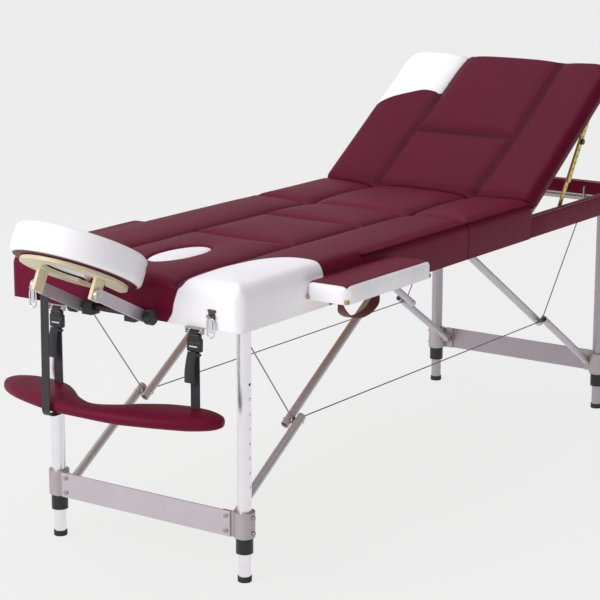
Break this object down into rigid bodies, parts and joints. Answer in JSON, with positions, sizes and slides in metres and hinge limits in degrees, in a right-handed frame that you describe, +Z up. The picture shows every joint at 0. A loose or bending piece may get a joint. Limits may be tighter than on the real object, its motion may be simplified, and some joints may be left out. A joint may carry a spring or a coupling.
{
  "type": "portable massage table",
  "caption": "Folding padded treatment table with telescopic legs and cable braces, lift-up backrest, face cradle, hanging arm sling and slide-out armrests.",
  "frame": {"origin": "on the floor under the middle of the whole table's bounding box", "axes": "+Z up, +Y from the face cradle end to the foot end, +X to the side with the carry handle"},
  "size_m": [0.882, 2.1786, 1.001],
  "materials": {
    "frame_wood_covered": "satin",
    "deck_board": "matte",
    "upholstery": "satin",
    "white_upholstery": "satin",
    "plug_upholstery": "satin",
    "zinc_steel": "satin",
    "cable_steel": "satin",
    "black_plastic": "matte",
    "cream_plastic": "matte",
    "webbing": "matte",
    "black_webbing": "matte",
    "leg_aluminium": "satin",
    "clamp_aluminium": "satin",
    "steel_pins": "satin",
    "collar_plastic": "matte",
    "foot_rubber": "matte",
    "button_steel": "polished"
  },
  "bodies": {
    "head_half": {"head_frame_rails": "frame_wood_covered", "head_deck": "deck_board", "head_pad": "upholstery", "head_brackets": "zinc_steel", "head_fold_plates": "zinc_steel", "head_cables": "cable_steel"},
    "foot_half": {"foot_frame_rails": "frame_wood_covered", "seat_deck": "deck_board", "seat_pad": "upholstery", "foot_brackets": "zinc_steel", "foot_fold_plates": "zinc_steel", "backrest_hinge_plates": "zinc_steel", "foot_cables": "cable_steel"},
    "head_legs": {"head_outer_leg_tubes": "leg_aluminium", "head_leg_pins": "steel_pins", "head_leg_clamps": "clamp_aluminium", "head_crossbar": "leg_aluminium", "head_leg_collars": "collar_plastic"},
    "head_upper_brace_pair": {"head_upper_braces": "leg_aluminium"},
    "head_lower_brace_pair": {"head_lower_braces": "leg_aluminium"},
    "head_far_leg_extension": {"head_far_inner_tube": "leg_aluminium", "head_far_foot_cap": "foot_rubber"},
    "head_far_button": {"head_far_height_button": "button_steel"},
    "head_near_leg_extension": {"head_near_inner_tube": "leg_aluminium", "head_near_foot_cap": "foot_rubber"},
    "head_near_button": {"head_near_height_button": "button_steel"},
    "foot_legs": {"foot_outer_leg_tubes": "leg_aluminium", "foot_leg_pins": "steel_pins", "foot_leg_clamps": "clamp_aluminium", "foot_crossbar": "leg_aluminium", "foot_leg_collars": "collar_plastic"},
    "foot_upper_brace_pair": {"foot_upper_braces": "leg_aluminium"},
    "foot_lower_brace_pair": {"foot_lower_braces": "leg_aluminium"},
    "foot_far_leg_extension": {"foot_far_inner_tube": "leg_aluminium", "foot_far_foot_cap": "foot_rubber"},
    "foot_far_button": {"foot_far_height_button": "button_steel"},
    "foot_near_leg_extension": {"foot_near_inner_tube": "leg_aluminium", "foot_near_foot_cap": "foot_rubber"},
    "foot_near_button": {"foot_near_height_button": "button_steel"},
    "backrest": {"backrest_board": "deck_board", "backrest_pad": "upholstery", "backrest_brackets": "zinc_steel"},
    "stay_lower": {"stay_lower_bars": "zinc_steel"},
    "stay_upper": {"stay_upper_bars": "zinc_steel", "stay_knobs": "black_plastic"},
    "cradle_base": {"cradle_posts": "black_plastic"},
    "cradle_arm_pair": {"cradle_arms": "black_plastic"},
    "cradle_head": {"cradle_plate": "cream_plastic", "cradle_cushion": "white_upholstery"},
    "cradle_knob_pair": {"cradle_knobs": "black_plastic"},
    "sling": {"sling_cushion": "upholstery", "sling_straps": "black_webbing", "sling_front_strap": "black_webbing"},
    "near_armrest_body": {"near_armrest": "upholstery"},
    "far_armrest_body": {"far_armrest": "upholstery"},
    "face_plug": {"face_hole_plug": "plug_upholstery"},
    "near_hook": {"near_snap_hook": "zinc_steel"},
    "far_hook": {"far_snap_hook": "zinc_steel"},
    "handle": {"carry_handle": "webbing"}
  },
  "joints": [
    {"name": "table_fold", "type": "hinge", "parent": "head_half", "child": "foot_half", "pos_m": [0, 0.14431, 0.581], "axis": [-1, 0, 0], "range_deg": [0, 135], "deforming": ["head_cables", "foot_cables"]},
    {"name": "head_legs_fold", "type": "hinge", "parent": "head_half", "child": "head_legs", "pos_m": [0, -0.71569, 0.612], "axis": [1, 0, 0], "range_deg": [0, 90]},
    {"name": "head_upper_braces_fold", "type": "hinge", "parent": "head_half", "child": "head_upper_brace_pair", "pos_m": [0, 0.00931, 0.602], "axis": [-1, 0, 0], "range_deg": [0, 35.17]},
    {"name": "head_lower_braces_fold", "type": "hinge", "parent": "head_legs", "child": "head_lower_brace_pair", "pos_m": [0, -0.71569, 0.134], "axis": [1, 0, 0], "range_deg": [0, 54.85]},
    {"name": "head_far_leg_height", "type": "slide", "parent": "head_legs", "child": "head_far_leg_extension", "axis": [0, 0, -1], "range_m": [0, 0.2]},
    {"name": "head_far_button_press", "type": "slide", "parent": "head_far_leg_extension", "child": "head_far_button", "axis": [1, 0, 0], "range_m": [0, 0.0035], "stiffness_N_per_m": 800},
    {"name": "head_near_leg_height", "type": "slide", "parent": "head_legs", "child": "head_near_leg_extension", "axis": [0, 0, -1], "range_m": [0, 0.2]},
    {"name": "head_near_button_press", "type": "slide", "parent": "head_near_leg_extension", "child": "head_near_button", "axis": [-1, 0, 0], "range_m": [0, 0.0035], "stiffness_N_per_m": 800},
    {"name": "foot_legs_fold", "type": "hinge", "parent": "foot_half", "child": "foot_legs", "pos_m": [0, 1.00431, 0.612], "axis": [-1, 0, 0], "range_deg": [0, 90]},
    {"name": "foot_upper_braces_fold", "type": "hinge", "parent": "foot_half", "child": "foot_upper_brace_pair", "pos_m": [0, 0.27931, 0.602], "axis": [1, 0, 0], "range_deg": [0, 35.17]},
    {"name": "foot_lower_braces_fold", "type": "hinge", "parent": "foot_legs", "child": "foot_lower_brace_pair", "pos_m": [0, 1.00431, 0.134], "axis": [-1, 0, 0], "range_deg": [0, 54.85]},
    {"name": "foot_far_leg_height", "type": "slide", "parent": "foot_legs", "child": "foot_far_leg_extension", "axis": [0, 0, -1], "range_m": [0, 0.2]},
    {"name": "foot_far_button_press", "type": "slide", "parent": "foot_far_leg_extension", "child": "foot_far_button", "axis": [1, 0, 0], "range_m": [0, 0.0035], "stiffness_N_per_m": 800},
    {"name": "foot_near_leg_height", "type": "slide", "parent": "foot_legs", "child": "foot_near_leg_extension", "axis": [0, 0, -1], "range_m": [0, 0.2]},
    {"name": "foot_near_button_press", "type": "slide", "parent": "foot_near_leg_extension", "child": "foot_near_button", "axis": [-1, 0, 0], "range_m": [0, 0.0035], "stiffness_N_per_m": 800},
    {"name": "backrest_recline", "type": "hinge", "parent": "foot_half", "child": "backrest", "pos_m": [0, 0.47431, 0.641], "axis": [1, 0, 0], "range_deg": [-34, 10]},
    {"name": "stay_lower_swing", "type": "hinge", "parent": "foot_half", "child": "stay_lower", "pos_m": [0, 0.67931, 0.612], "axis": [1, 0, 0], "range_deg": [-51.36, 15.11]},
    {"name": "stay_upper_swing", "type": "hinge", "parent": "backrest", "child": "stay_upper", "pos_m": [0, 0.8756, 0.90444], "axis": [1, 0, 0], "range_deg": [-17.36, 5.11]},
    {"name": "cradle_insert", "type": "slide", "parent": "head_half", "child": "cradle_base", "axis": [0, -1, 0], "range_m": [0, 0.08]},
    {"name": "cradle_height", "type": "hinge", "parent": "cradle_base", "child": "cradle_arm_pair", "pos_m": [0, -0.83369, 0.603], "axis": [1, 0, 0], "range_deg": [0, 26]},
    {"name": "cradle_tilt", "type": "hinge", "parent": "cradle_arm_pair", "child": "cradle_head", "pos_m": [0, -0.98069, 0.676], "axis": [1, 0, 0], "range_deg": [0, 20]},
    {"name": "cradle_knob_turn", "type": "hinge", "parent": "cradle_base", "child": "cradle_knob_pair", "pos_m": [0, -0.83369, 0.603], "axis": [1, 0, 0], "range_deg": [0, 90]},
    {"name": "sling_swing", "type": "hinge", "parent": "head_half", "child": "sling", "pos_m": [0, -0.80769, 0.58], "axis": [-1, 0, 0], "range_deg": [0, 8], "deforming": ["sling_front_strap"]},
    {"name": "near_armrest_slide", "type": "slide", "parent": "head_half", "child": "near_armrest_body", "axis": [1, 0, 0], "range_m": [0, 0.12]},
    {"name": "far_armrest_slide", "type": "slide", "parent": "head_half", "child": "far_armrest_body", "axis": [-1, 0, 0], "range_m": [0, 0.12]},
    {"name": "face_plug_lift", "type": "slide", "parent": "head_half", "child": "face_plug", "axis": [0, 0, 1], "range_m": [0, 0.06]},
    {"name": "near_hook_swing", "type": "hinge", "parent": "head_half", "child": "near_hook", "pos_m": [0.252, -0.80919, 0.619], "axis": [0, 1, 0], "range_deg": [-40, 10]},
    {"name": "far_hook_swing", "type": "hinge", "parent": "head_half", "child": "far_hook", "pos_m": [-0.252, -0.80919, 0.619], "axis": [0, -1, 0], "range_deg": [-40, 40]},
    {"name": "handle_swing", "type": "hinge", "parent": "head_half", "child": "handle", "pos_m": [0.312, -0.32419, 0.587], "axis": [0, 1, 0], "range_deg": [-30, 30]}
  ],
  "couplings": [
    {"joint": "head_legs_fold", "follows": "table_fold", "ratio": 0.66667},
    {"joint": "head_upper_braces_fold", "follows": "table_fold", "ratio": 0.26045},
    {"joint": "head_lower_braces_fold", "follows": "table_fold", "ratio": 0.40621},
    {"joint": "foot_legs_fold", "follows": "table_fold", "ratio": 0.66667},
    {"joint": "foot_upper_braces_fold", "follows": "table_fold", "ratio": 0.26045},
    {"joint": "foot_lower_braces_fold", "follows": "table_fold", "ratio": 0.40621},
    {"joint": "stay_lower_swing", "follows": "backrest_recline", "ratio": 1.5103},
    {"joint": "stay_upper_swing", "follows": "backrest_recline", "ratio": 0.5103}
  ]
}
